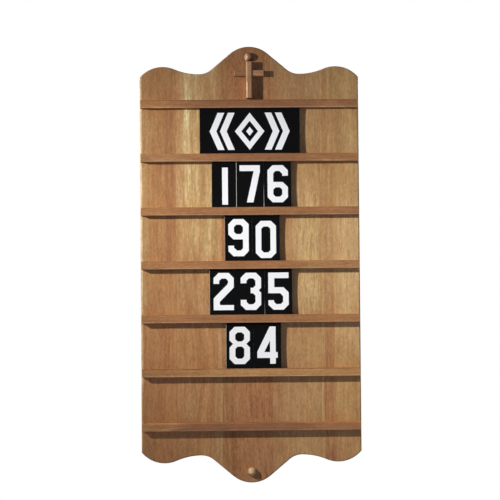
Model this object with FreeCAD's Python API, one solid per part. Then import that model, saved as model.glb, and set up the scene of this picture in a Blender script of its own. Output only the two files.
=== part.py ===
"""Wall-hung hymn board in light hardwood, built as its separate pieces, in millimetres.

Frame: +Z up, +X to the right of someone who faces the board, front towards -Y. The origin is the
middle of the panel's back face, which lies on the wall. The panel is five upright staves glued
edge to edge and sawn to a scroll at top and bottom. Seven level rails are screwed to it from
behind. Each rail is grooved along its top edge and, deeper, along its bottom edge, so a card goes
up into the deep groove first and then drops into the shallow one. A small half-lapped cross is
fixed above the top rail, and two domed plugs hide the screws that hold the board to the wall.
"""
import FreeCAD, Part
import math
import os

Vector = FreeCAD.Vector

# Panel
BOARD_WIDTH = 460.0
BOARD_THICKNESS = 19.0
CROWN_ABOVE_RAIL = 113.95         # top edge of the top rail to the crown of the scroll
FRONT_ROUNDOVER = 3.0             # round along the panel's front edge
STAVE_SHARES = [0.162, 0.208, 0.226, 0.224]    # of the width, left to right; the last takes the rest

# Scroll, walked from the crown of the middle lobe out to the corner
MIDDLE_LOBE_RADIUS = 60.5
FLANK_ANGLE = 40.0                # steepest slope beside the middle lobe, degrees
INNER_HOLLOW_RADIUS = 40.0
OUTER_HOLLOW_RADIUS = 130.0
SHOULDER_RISE = 23.3              # slope between the hollow and the side lobe, degrees
SIDE_LOBE_RADIUS = 63.0
SHOULDER_FALL = 50.3              # slope of the side lobe where it meets the edge, degrees

# Cards
CARD_HEIGHT = 101.6
CARD_THICKNESS = 0.9
CARD_BOW = 1.7                    # how far the middle of a card leans back from its ends
NUMBER_CARD_WIDTH = 57.2
NARROW_CARD_WIDTH = 51.0          # the card of a numeral that is one plain stroke
HEADER_CARD_WIDTH = 209.4
CARD_GAP = 0.4                    # between neighbours in a row
CARD_REST_GAP = 0.3               # under a card, above the floor of its groove

# Rails
RAIL_COUNT = 7
RAIL_HEIGHT = 16.9
RAIL_DEPTH = 16.0
RAIL_END_INSET = 2.0              # between a rail's end and the side of the panel
RAILS_BELOW_MIDDLE = 2.1          # middle of the rails below the middle of the panel
RAIL_EASING = 1.2                 # round along a rail's front edges
SHALLOW_GROOVE_DEPTH = 3.4        # in a rail's top edge, where a card stands
DEEP_GROOVE_DEPTH = 7.6           # in a rail's bottom edge, where a card's top goes
GROOVE_SLACK = 1.3                # groove width beyond the card's thickness
GROOVE_BACK_LIP = 7.4             # wood between a groove and the panel
LIFT_ROOM = 4.5                   # free height above a card

# Cross
CROSS_SECTION = 12.7              # width of the upright and height of the crossbar
UPRIGHT_TOP_GAP = 0.6             # between the upright and the plug above it
UPRIGHT_FOOT_GAP = 3.0            # between the upright and the rail below it
UPRIGHT_DEPTH = 16.0
CROSSBAR_LENGTH = 64.0
CROSSBAR_DEPTH = 13.6
CROSSBAR_BELOW_TOP = 24.9         # top of the upright to the crossbar's centre line
CROSS_EASING = 2.4                # round along the cross's front edges

# Plugs and the wall-screw holes behind them
PLUG_FROM_CROWN = 22.8            # crown of the scroll to the plug's centre
PLUG_RADIUS = 9.5
PLUG_SKIRT = 1.5                  # straight rim below the dome
PLUG_DOME = 9.5
PLUG_TENON_RADIUS = 4.75
PLUG_TENON_CLEARANCE = 0.1
PLUG_SEAT_GAP = 0.2               # between the plug's rim and the panel
TENON_END_CHAMFER = 0.8
WALL_SCREW_RADIUS = 2.5
WALL_SCREW_WEB = 7.0              # wood left for the wall screw's head to bear on
WALL_SCREW_HEAD_ROOM = 4.0        # between the plug's tenon and that wood

# Wood screws, driven from behind
SCREW_RADIUS = 1.75
SCREW_HEAD_RADIUS = 3.5
SCREW_SINK = 0.3                  # head below the panel's back face
SCREW_CLEARANCE = 0.2             # hole in the panel beyond the shank
SCREW_TIP_COVER = 4.0             # wood left in front of the screw's end
RAIL_SCREW_INSET = 40.0           # from a rail's end to its screw

# Places worked out from the sizes above
GROOVE_WIDTH = CARD_THICKNESS + GROOVE_SLACK
CARD_FOOT_DEPTH = SHALLOW_GROOVE_DEPTH - CARD_REST_GAP
CARD_HEAD_DEPTH = DEEP_GROOVE_DEPTH - LIFT_ROOM
RAIL_PITCH = RAIL_HEIGHT + CARD_HEIGHT - CARD_FOOT_DEPTH - CARD_HEAD_DEPTH
FRONT_Y = -BOARD_THICKNESS
RAIL_FRONT_Y = FRONT_Y - RAIL_DEPTH
GROOVE_BACK_Y = FRONT_Y - GROOVE_BACK_LIP
RAIL_LENGTH = BOARD_WIDTH - 2 * RAIL_END_INSET
TOP_RAIL_Z = RAIL_PITCH * (RAIL_COUNT - 1) / 2 - RAILS_BELOW_MIDDLE
RAILS_TOP_Z = TOP_RAIL_Z + RAIL_HEIGHT / 2
CROSS_FOOT_Z = RAILS_TOP_Z + UPRIGHT_FOOT_GAP
CROWN_Z = RAILS_TOP_Z + CROWN_ABOVE_RAIL
PLUG_Z = CROWN_Z - PLUG_FROM_CROWN
UPRIGHT_TOP_Z = PLUG_Z - PLUG_RADIUS - UPRIGHT_TOP_GAP
CROSSBAR_Z = UPRIGHT_TOP_Z - CROSSBAR_BELOW_TOP
HALF_LAP_Y = FRONT_Y - UPRIGHT_DEPTH / 2
# A screw's line in a rail: the middle of the wood between the two grooves
SCREW_LINE = (DEEP_GROOVE_DEPTH - SHALLOW_GROOVE_DEPTH) / 2

# Each row of cards from the top: how far its middle lies right of the board's, then node and width
CARD_ROWS = [
    (0.6, [("header_card", HEADER_CARD_WIDTH)]),
    (3.2, [("card_1_left", NARROW_CARD_WIDTH), ("card_1_middle", NUMBER_CARD_WIDTH),
           ("card_1_right", NUMBER_CARD_WIDTH)]),
    (4.0, [("card_2_left", NUMBER_CARD_WIDTH), ("card_2_right", NUMBER_CARD_WIDTH)]),
    (0.3, [("card_3_left", NUMBER_CARD_WIDTH), ("card_3_middle", NUMBER_CARD_WIDTH),
           ("card_3_right", NUMBER_CARD_WIDTH)]),
    (5.0, [("card_4_left", NUMBER_CARD_WIDTH), ("card_4_right", NUMBER_CARD_WIDTH)]),
]


class Pen:
    """Draws a smooth line of arcs and straights in the plane of the board's back face."""

    def __init__(self, x, z):
        self.at = Vector(x, 0, z)
        self.heading = 0.0
        self.edges = []

    def _towards(self, degrees):
        angle = math.radians(degrees)
        return Vector(math.cos(angle), 0, math.sin(angle))

    def straight(self, length):
        """A straight of the given length along the heading."""
        end = self.at + self._towards(self.heading) * length
        self.edges.append(Part.makeLine(self.at, end))
        self.at = end

    def bend(self, degrees, radius):
        """An arc that turns the heading, upwards where degrees is positive."""
        side = math.copysign(90.0, degrees)
        centre = self.at + self._towards(self.heading + side) * radius
        halfway = centre + self._towards(self.heading + degrees / 2 - side) * radius
        end = centre + self._towards(self.heading + degrees - side) * radius
        self.edges.append(Part.Arc(self.at, halfway, end).toShape())
        self.at = end
        self.heading += degrees


def flank_length():
    """Straight flank that lets the scroll's arcs reach the edge of the board."""
    flank = math.radians(FLANK_ANGLE)
    rise = math.radians(SHOULDER_RISE)
    fall = math.radians(SHOULDER_FALL)
    arcs = (MIDDLE_LOBE_RADIUS + INNER_HOLLOW_RADIUS) * math.sin(flank)
    arcs += (OUTER_HOLLOW_RADIUS + SIDE_LOBE_RADIUS) * math.sin(rise)
    arcs += SIDE_LOBE_RADIUS * math.sin(fall)
    return (BOARD_WIDTH / 2 - arcs) / math.cos(flank)


def panel_outline():
    """Closed wire of the board's outline: one quarter, drawn once and mirrored."""
    pen = Pen(0, CROWN_Z)
    pen.bend(-FLANK_ANGLE, MIDDLE_LOBE_RADIUS)
    pen.straight(flank_length())
    pen.bend(FLANK_ANGLE, INNER_HOLLOW_RADIUS)
    pen.bend(SHOULDER_RISE, OUTER_HOLLOW_RADIUS)
    pen.bend(-SHOULDER_RISE - SHOULDER_FALL, SIDE_LOBE_RADIUS)
    corner_z = pen.at.z
    right_half = Part.Compound(pen.edges)
    top = [right_half, right_half.mirror(Vector(0, 0, 0), Vector(1, 0, 0))]
    bottom = [half.mirror(Vector(0, 0, 0), Vector(0, 0, 1)) for half in top]
    edges = [edge for half in top + bottom for edge in half.Edges]
    for side_x in (-BOARD_WIDTH / 2, BOARD_WIDTH / 2):
        edges.append(Part.makeLine(Vector(side_x, 0, -corner_z), Vector(side_x, 0, corner_z)))
    return Part.Wire(Part.__sortEdges__(edges))


def round_front(solid, front_y, radius):
    """Rounds every edge of the flat front face that lies at front_y."""
    edges = [edge for edge in solid.Edges
             if all(abs(vertex.Y - front_y) < 1e-6 for vertex in edge.Vertexes)]
    return solid.makeFillet(radius, edges)


def cylinder_y(radius, start_y, end_y, x, z):
    """Round bar along Y, from the deeper face at end_y to the one nearer the wall at start_y."""
    return Part.makeCylinder(radius, start_y - end_y, Vector(x, end_y, z), Vector(0, 1, 0))


def box_between(low, high):
    """Box from its lowest corner to its highest."""
    size = high - low
    return Part.makeBox(size.x, size.y, size.z, low)


# Screws

def rail_z(index):
    """Height of a rail's centre line; rail 1 is the top one."""
    return TOP_RAIL_Z - (index - 1) * RAIL_PITCH


def rail_screw_places():
    """Where each rail's two screws go."""
    right_x = RAIL_LENGTH / 2 - RAIL_SCREW_INSET
    return [(x, rail_z(index) + SCREW_LINE)
            for index in range(1, RAIL_COUNT + 1) for x in (-right_x, right_x)]


def cross_screw_places():
    """One screw through the lap of the cross and one into the upright below it."""
    below = (CROSS_FOOT_Z + CROSSBAR_Z - CROSS_SECTION / 2) / 2
    return [(0.0, CROSSBAR_Z), (0.0, below)]


def screw_tip_y(carried_depth):
    """How far a screw reaches into a piece of the given depth."""
    return FRONT_Y - carried_depth + SCREW_TIP_COVER


def screw(x, z, tip_y):
    """Countersunk wood screw, its head just under the panel's back face."""
    head_y = -SCREW_SINK
    neck_y = head_y - (SCREW_HEAD_RADIUS - SCREW_RADIUS)
    profile = Part.makePolygon([
        Vector(0, head_y, 0), Vector(SCREW_HEAD_RADIUS, head_y, 0), Vector(SCREW_RADIUS, neck_y, 0),
        Vector(SCREW_RADIUS, tip_y, 0), Vector(0, tip_y, 0), Vector(0, head_y, 0)])
    body = Part.Face(profile).revolve(Vector(0, 0, 0), Vector(0, 1, 0), 360)
    body.translate(Vector(x, 0, z))
    return body


def screw_hole_in_panel(x, z):
    """Clearance hole with a countersink that the screw's head fits."""
    hole = cylinder_y(SCREW_RADIUS + SCREW_CLEARANCE, 0, FRONT_Y, x, z)
    mouth_radius = SCREW_HEAD_RADIUS + SCREW_SINK
    sink = Part.makeCone(mouth_radius, SCREW_RADIUS, mouth_radius - SCREW_RADIUS,
                         Vector(x, 0, z), Vector(0, -1, 0))
    return hole.fuse(sink)


def screw_pilot(x, z, tip_y):
    """The wood that a screw displaces in the piece that it holds."""
    return cylinder_y(SCREW_RADIUS, FRONT_Y, tip_y, x, z)


# Panel

def panel():
    """The scrolled panel in one piece, with its front edge rounded and every hole drilled."""
    board = Part.Face(panel_outline()).extrude(Vector(0, FRONT_Y, 0))
    board = round_front(board, FRONT_Y, FRONT_ROUNDOVER)
    holes = [screw_hole_in_panel(x, z) for x, z in rail_screw_places() + cross_screw_places()]
    for z in (PLUG_Z, -PLUG_Z):
        holes.append(cylinder_y(WALL_SCREW_RADIUS, 0, FRONT_Y, 0, z))
        holes.append(cylinder_y(PLUG_TENON_RADIUS + PLUG_TENON_CLEARANCE,
                                -WALL_SCREW_WEB, FRONT_Y, 0, z))
    return board.cut(holes)


def staves():
    """The panel parted along its glue lines, left to right."""
    whole = panel()
    glue_lines = [-BOARD_WIDTH / 2]
    for share in STAVE_SHARES:
        glue_lines.append(glue_lines[-1] + share * BOARD_WIDTH)
    glue_lines.append(BOARD_WIDTH / 2)
    pieces = {}
    for number, (left, right) in enumerate(zip(glue_lines, glue_lines[1:]), start=1):
        strip = box_between(Vector(left, FRONT_Y, -CROWN_Z), Vector(right, 0, CROWN_Z))
        pieces[f"stave_{number}"] = whole.common(strip).Solids[0]
    return pieces


# Rails

def rail(index):
    """One rail: the grooved moulding, eased in front, with its pilot holes."""
    half = RAIL_HEIGHT / 2
    groove_front_y = GROOVE_BACK_Y - GROOVE_WIDTH
    outline = [
        (FRONT_Y, -half), (GROOVE_BACK_Y, -half),
        (GROOVE_BACK_Y, -half + DEEP_GROOVE_DEPTH), (groove_front_y, -half + DEEP_GROOVE_DEPTH),
        (groove_front_y, -half), (RAIL_FRONT_Y, -half), (RAIL_FRONT_Y, half),
        (groove_front_y, half), (groove_front_y, half - SHALLOW_GROOVE_DEPTH),
        (GROOVE_BACK_Y, half - SHALLOW_GROOVE_DEPTH), (GROOVE_BACK_Y, half),
        (FRONT_Y, half), (FRONT_Y, -half)]
    centre_z = rail_z(index)
    section = Part.makePolygon([Vector(-RAIL_LENGTH / 2, y, centre_z + z) for y, z in outline])
    bar = Part.Face(section).extrude(Vector(RAIL_LENGTH, 0, 0))
    bar = round_front(bar, RAIL_FRONT_Y, RAIL_EASING)
    tip_y = screw_tip_y(RAIL_DEPTH)
    pilots = [screw_pilot(x, z, tip_y) for x, z in rail_screw_places() if abs(z - centre_z) < half]
    return bar.cut(pilots)


# Cross

def cross():
    """The upright, halved behind, and the crossbar, halved in front, that lie in one another."""
    half = CROSS_SECTION / 2
    upright = box_between(Vector(-half, FRONT_Y - UPRIGHT_DEPTH, CROSS_FOOT_Z),
                          Vector(half, FRONT_Y, UPRIGHT_TOP_Z))
    upright = round_front(upright, FRONT_Y - UPRIGHT_DEPTH, CROSS_EASING)
    crossbar = box_between(Vector(-CROSSBAR_LENGTH / 2, FRONT_Y - CROSSBAR_DEPTH, CROSSBAR_Z - half),
                           Vector(CROSSBAR_LENGTH / 2, FRONT_Y, CROSSBAR_Z + half))
    crossbar = round_front(crossbar, FRONT_Y - CROSSBAR_DEPTH, CROSS_EASING)
    behind_lap = box_between(Vector(-half, HALF_LAP_Y, CROSSBAR_Z - half),
                             Vector(half, FRONT_Y, CROSSBAR_Z + half))
    before_lap = box_between(Vector(-half, FRONT_Y - UPRIGHT_DEPTH, CROSSBAR_Z - half),
                             Vector(half, HALF_LAP_Y, CROSSBAR_Z + half))
    pilots = [screw_pilot(x, z, screw_tip_y(UPRIGHT_DEPTH)) for x, z in cross_screw_places()]
    return {"cross_upright": upright.cut([behind_lap] + pilots),
            "cross_crossbar": crossbar.cut([before_lap] + pilots)}


# Plugs

def plug(z):
    """Domed plug: a tenon that pushes into the counterbore and a round head that covers it."""
    rim_y = FRONT_Y - PLUG_SEAT_GAP
    dome_y = rim_y - PLUG_SKIRT
    crown_y = dome_y - PLUG_DOME
    tenon_end_y = -WALL_SCREW_WEB - WALL_SCREW_HEAD_ROOM
    dome_radius = (PLUG_RADIUS ** 2 + PLUG_DOME ** 2) / (2 * PLUG_DOME)
    half_angle = math.atan2(PLUG_RADIUS, dome_radius - PLUG_DOME) / 2
    halfway = Vector(dome_radius * math.sin(half_angle), 0, 0)
    halfway.y = crown_y + dome_radius * (1 - math.cos(half_angle))
    corners = [
        Vector(0, crown_y, 0), Vector(0, tenon_end_y, 0),
        Vector(PLUG_TENON_RADIUS - TENON_END_CHAMFER, tenon_end_y, 0),
        Vector(PLUG_TENON_RADIUS, tenon_end_y - TENON_END_CHAMFER, 0),
        Vector(PLUG_TENON_RADIUS, rim_y, 0), Vector(PLUG_RADIUS, rim_y, 0),
        Vector(PLUG_RADIUS, dome_y, 0)]
    edges = [Part.makeLine(start, end) for start, end in zip(corners, corners[1:])]
    edges.append(Part.Arc(corners[-1], halfway, corners[0]).toShape())
    turned = Part.Face(Part.Wire(edges)).revolve(Vector(0, 0, 0), Vector(0, 1, 0), 360)
    turned.translate(Vector(0, 0, z))
    return turned


# Cards

def card(left_x, width, row):
    """One card, standing in rail row + 1 and held at its head in the rail above."""
    foot_z = rail_z(row + 1) + RAIL_HEIGHT / 2 - CARD_FOOT_DEPTH
    front_y = GROOVE_BACK_Y - (GROOVE_WIDTH + CARD_THICKNESS) / 2
    back_y = front_y + CARD_THICKNESS

    def bowed(y):
        ends = [Vector(left_x, y, foot_z), Vector(left_x, y, foot_z + CARD_HEIGHT)]
        middle = Vector(left_x, y + CARD_BOW, foot_z + CARD_HEIGHT / 2)
        return Part.Arc(ends[0], middle, ends[1]).toShape(), ends

    front, front_ends = bowed(front_y)
    back, back_ends = bowed(back_y)
    foot = Part.makeLine(back_ends[0], front_ends[0])
    head = Part.makeLine(front_ends[1], back_ends[1])
    side = Part.Face(Part.Wire(Part.__sortEdges__([front, head, back, foot])))
    return side.extrude(Vector(width, 0, 0))


def cards():
    """Every card in its place, row by row."""
    pieces = {}
    for row, (shift, row_cards) in enumerate(CARD_ROWS, start=1):
        row_width = sum(width for _, width in row_cards) + CARD_GAP * (len(row_cards) - 1)
        left_x = shift - row_width / 2
        for name, width in row_cards:
            pieces[name] = card(left_x, width, row)
            left_x += width + CARD_GAP
    return pieces


def hymn_board():
    """Every piece of the board by its name."""
    pieces = staves()
    pieces.update({f"rail_{index}": rail(index) for index in range(1, RAIL_COUNT + 1)})
    pieces.update(cross())
    pieces["top_plug"] = plug(PLUG_Z)
    pieces["bottom_plug"] = plug(-PLUG_Z)
    screws = [screw(x, z, screw_tip_y(RAIL_DEPTH)) for x, z in rail_screw_places()]
    screws += [screw(x, z, screw_tip_y(UPRIGHT_DEPTH)) for x, z in cross_screw_places()]
    pieces["wood_screws"] = Part.makeCompound(screws)
    pieces.update(cards())
    return pieces


os.makedirs("parts", exist_ok=True)
for node, shape in hymn_board().items():
    shape.exportStep(f"parts/{node}.step")
    print(f"{node}: {len(shape.Solids)} solid(s), {shape.Volume / 1000:.2f} cm3")
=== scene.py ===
"""Looks of a wall-hung hymn board: lacquered hardwood, layered number cards and turned plugs.

Sizes of pieces and streaks are in millimetres. Places in the studio and of the wood's pith are in
metres, and turns are in degrees.
"""
import logging
import math
from dataclasses import dataclass, field
from enum import Enum
from typing import ClassVar

import bmesh
import bpy
from mathutils import Matrix, Vector


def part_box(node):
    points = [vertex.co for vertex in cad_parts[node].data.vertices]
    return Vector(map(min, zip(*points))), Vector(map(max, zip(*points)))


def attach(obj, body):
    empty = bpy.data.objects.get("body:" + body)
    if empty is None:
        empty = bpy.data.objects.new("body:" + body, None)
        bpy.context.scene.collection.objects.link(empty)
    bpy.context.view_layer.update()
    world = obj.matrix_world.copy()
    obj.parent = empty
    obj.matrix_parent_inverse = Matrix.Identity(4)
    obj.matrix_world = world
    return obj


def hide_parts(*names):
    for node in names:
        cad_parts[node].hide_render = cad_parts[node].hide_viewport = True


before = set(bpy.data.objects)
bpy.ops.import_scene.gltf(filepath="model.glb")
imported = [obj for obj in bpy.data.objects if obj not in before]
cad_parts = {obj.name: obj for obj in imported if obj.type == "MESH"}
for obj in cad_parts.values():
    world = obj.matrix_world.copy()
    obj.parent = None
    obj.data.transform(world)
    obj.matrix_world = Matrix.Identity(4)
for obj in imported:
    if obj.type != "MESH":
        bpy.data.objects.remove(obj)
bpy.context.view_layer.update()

LOG = logging.getLogger("hymn_board")
MM = 0.001

Socket = bpy.types.NodeSocket
Value = Socket | float | tuple
Shape = bmesh.types.BMesh
Triple = tuple[float, float, float]
Colour = tuple[float, float, float, float]
Loop = tuple[Triple, ...]


def paint(red: int, green: int, blue: int) -> Colour:
    """Linear colour of a paint chart's 0 to 255 numbers.

    Args:
        red: Red, 0 to 255.
        green: Green, 0 to 255.
        blue: Blue, 0 to 255.

    Returns:
        Linear red, green, blue and an alpha of 1.
    """
    def linear(step: int) -> float:
        """One channel without its display curve."""
        share = step / 255
        return share / 12.92 if share <= 0.04045 else ((share + 0.055) / 1.055) ** 2.4
    return linear(red), linear(green), linear(blue), 1.0


def toned(colour: Colour, *shares: float) -> Colour:
    """A colour made lighter or darker.

    Args:
        colour: Linear colour.
        shares: What its red, green and blue are multiplied by, or one number for all three.

    Returns:
        The new linear colour.
    """
    red, green, blue = shares if len(shares) == 3 else shares * 3
    return colour[0] * red, colour[1] * green, colour[2] * blue, 1.0


WHITE = (1.0, 1.0, 1.0, 1.0)

# Shades of the hardwood, from the painted highlight of its lit edge to its darkest heart

LIT_EDGE_CREAM = paint(234, 198, 152)
STRAW = paint(211, 172, 119)
HONEY = paint(203, 160, 107)
SAND = paint(195, 154, 102)
COPPER = paint(197, 141, 90)
TAWNY = paint(186, 137, 87)
AMBER = paint(184, 129, 80)
GINGER = paint(191, 131, 82)
FAWN = paint(177, 129, 84)
RUSSET = paint(173, 121, 76)
CHESTNUT = paint(165, 113, 73)
UMBER = paint(156, 107, 68)
WALNUT = paint(146, 98, 63)


# Shader trees

class ShaderTree:
    """Places nodes in one shader tree and joins their sockets."""

    def __init__(self, tree: bpy.types.NodeTree) -> None:
        """Takes the tree that the nodes go in."""
        self.tree = tree

    def feed(self, socket: Socket, value: Value) -> None:
        """Joins an input to a socket, or sets its plain value.

        Args:
            socket: The input.
            value: A socket to join it to, or the number, vector or colour that it holds.
        """
        if isinstance(value, bpy.types.NodeSocket):
            self.tree.links.new(value, socket)
        else:
            socket.default_value = value

    def fill(self, node: bpy.types.Node, values: dict) -> None:
        """Feeds several inputs of a node.

        Args:
            node: The node.
            values: Values or sockets for its inputs, by name or number.
        """
        for key, value in values.items():
            self.feed(node.inputs[key], value)

    def place(self, kind: str, inputs: dict | None = None, **settings: object) -> bpy.types.Node:
        """Adds a node.

        Args:
            kind: The node's type name.
            inputs: Values or sockets for its inputs, by name or number.
            settings: Properties of the node, set before its inputs.

        Returns:
            The node.
        """
        node = self.tree.nodes.new(kind)
        for name, setting in settings.items():
            setattr(node, name, setting)
        self.fill(node, inputs or {})
        return node

    def math(self, operation: str, *values: Value, clamp: bool = False) -> Socket:
        """Output of a Math node.

        Args:
            operation: Name of the operation.
            values: Its inputs in order.
            clamp: Whether the result stays between 0 and 1.

        Returns:
            The result's socket.
        """
        inputs = dict(enumerate(values))
        return self.place("ShaderNodeMath", inputs, operation=operation, use_clamp=clamp).outputs[0]

    def vector(self, operation: str, *values: Value) -> Socket:
        """Output of a Vector Math node: a number for a dot product or a length, else a vector.

        Args:
            operation: Name of the operation.
            values: Its inputs in order.

        Returns:
            The result's socket.
        """
        node = self.place("ShaderNodeVectorMath", dict(enumerate(values)), operation=operation)
        return node.outputs["Value" if operation in ("DOT_PRODUCT", "LENGTH") else "Vector"]

    def mix(self, factor: Value, first: Value, second: Value, blend: str = "MIX") -> Socket:
        """Output of a colour Mix node.

        Args:
            factor: Share of the second colour.
            first: First colour.
            second: Second colour.
            blend: Name of the blend.

        Returns:
            The mixed colour's socket.
        """
        node = self.place("ShaderNodeMix", {0: factor, 6: first, 7: second}, data_type="RGBA",
                          blend_type=blend)
        return node.outputs[2]

    def spread(self, value: Value, low: Value, high: Value, first: float = 0.0,
               last: float = 1.0) -> Socket:
        """Smooth step of a value between two limits.

        Args:
            value: What is measured.
            low: Where the step starts.
            high: Where it ends.
            first: Result below the step.
            last: Result above it.

        Returns:
            The stepped value's socket.
        """
        node = self.place("ShaderNodeMapRange", {0: value, 1: low, 2: high, 3: first, 4: last},
                          interpolation_type="SMOOTHSTEP")
        return node.outputs[0]

    def noise(self, vector: Value, stretch: Triple, detail: float = 0.0,
              roughness: float = 0.5) -> Socket:
        """Noise that is stretched along its axes.

        Args:
            vector: Place in metres.
            stretch: Repeats per metre along each axis.
            detail: Octaves of finer noise.
            roughness: Share of each finer octave.

        Returns:
            The noise's socket, about 0.5 on average.
        """
        scaled = self.vector("MULTIPLY", vector, stretch)
        inputs = {"Vector": scaled, "Scale": 1.0, "Detail": detail, "Roughness": roughness}
        return self.place("ShaderNodeTexNoise", inputs).outputs[0]

    def bands(self, place: Value, detail: float) -> Socket:
        """Noise along one line, for bands of uneven width.

        Args:
            place: Place along the line, in average widths.
            detail: Octaves of finer bands.

        Returns:
            The noise's socket.
        """
        inputs = {"W": place, "Scale": 1.0, "Detail": detail, "Roughness": 0.6}
        return self.place("ShaderNodeTexNoise", inputs, noise_dimensions="1D").outputs[0]

    def bump(self, height: Value, strength: float, distance: float) -> Socket:
        """Normal of a surface with fine relief.

        Args:
            height: Relief, from 0 to 1.
            strength: How much of it shows.
            distance: Its depth in metres.

        Returns:
            The normal's socket.
        """
        inputs = {"Strength": strength, "Distance": distance, "Height": height}
        return self.place("ShaderNodeBump", inputs).outputs[0]


class SharedEffect:
    """A shader node group, built once and placed in each material with that material's values."""

    title: ClassVar[str] = ""
    takes: ClassVar[dict[str, str]] = {}
    gives: ClassVar[dict[str, str]] = {}

    @classmethod
    def use(cls, tree: ShaderTree, **values: Value) -> dict[str, Socket]:
        """Places the group in a material.

        Args:
            tree: The material's tree.
            values: What the group's inputs hold, by input name.

        Returns:
            The group's outputs by name.
        """
        group = bpy.data.node_groups.get(cls.title) or cls.build()
        node = tree.place("ShaderNodeGroup", values, node_tree=group)
        return {name: node.outputs[name] for name in cls.gives}

    @classmethod
    def build(cls) -> bpy.types.NodeTree:
        """Makes the group's tree and its sockets, and draws what lies between them.

        Returns:
            The finished group.
        """
        group = bpy.data.node_groups.new(cls.title, "ShaderNodeTree")
        for side, sockets in (("INPUT", cls.takes), ("OUTPUT", cls.gives)):
            for name, kind in sockets.items():
                group.interface.new_socket(name=name, in_out=side, socket_type="NodeSocket" + kind)
        tree = ShaderTree(group)
        entry = tree.place("NodeGroupInput")
        results = cls.draw(tree, {name: entry.outputs[name] for name in cls.takes})
        tree.place("NodeGroupOutput", results)
        return group

    @classmethod
    def draw(cls, tree: ShaderTree, given: dict[str, Socket]) -> dict[str, Socket]:
        """Draws the effect.

        Args:
            tree: The group's tree.
            given: The group's inputs by name.

        Returns:
            What each output shows, by name.
        """
        raise NotImplementedError


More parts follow.
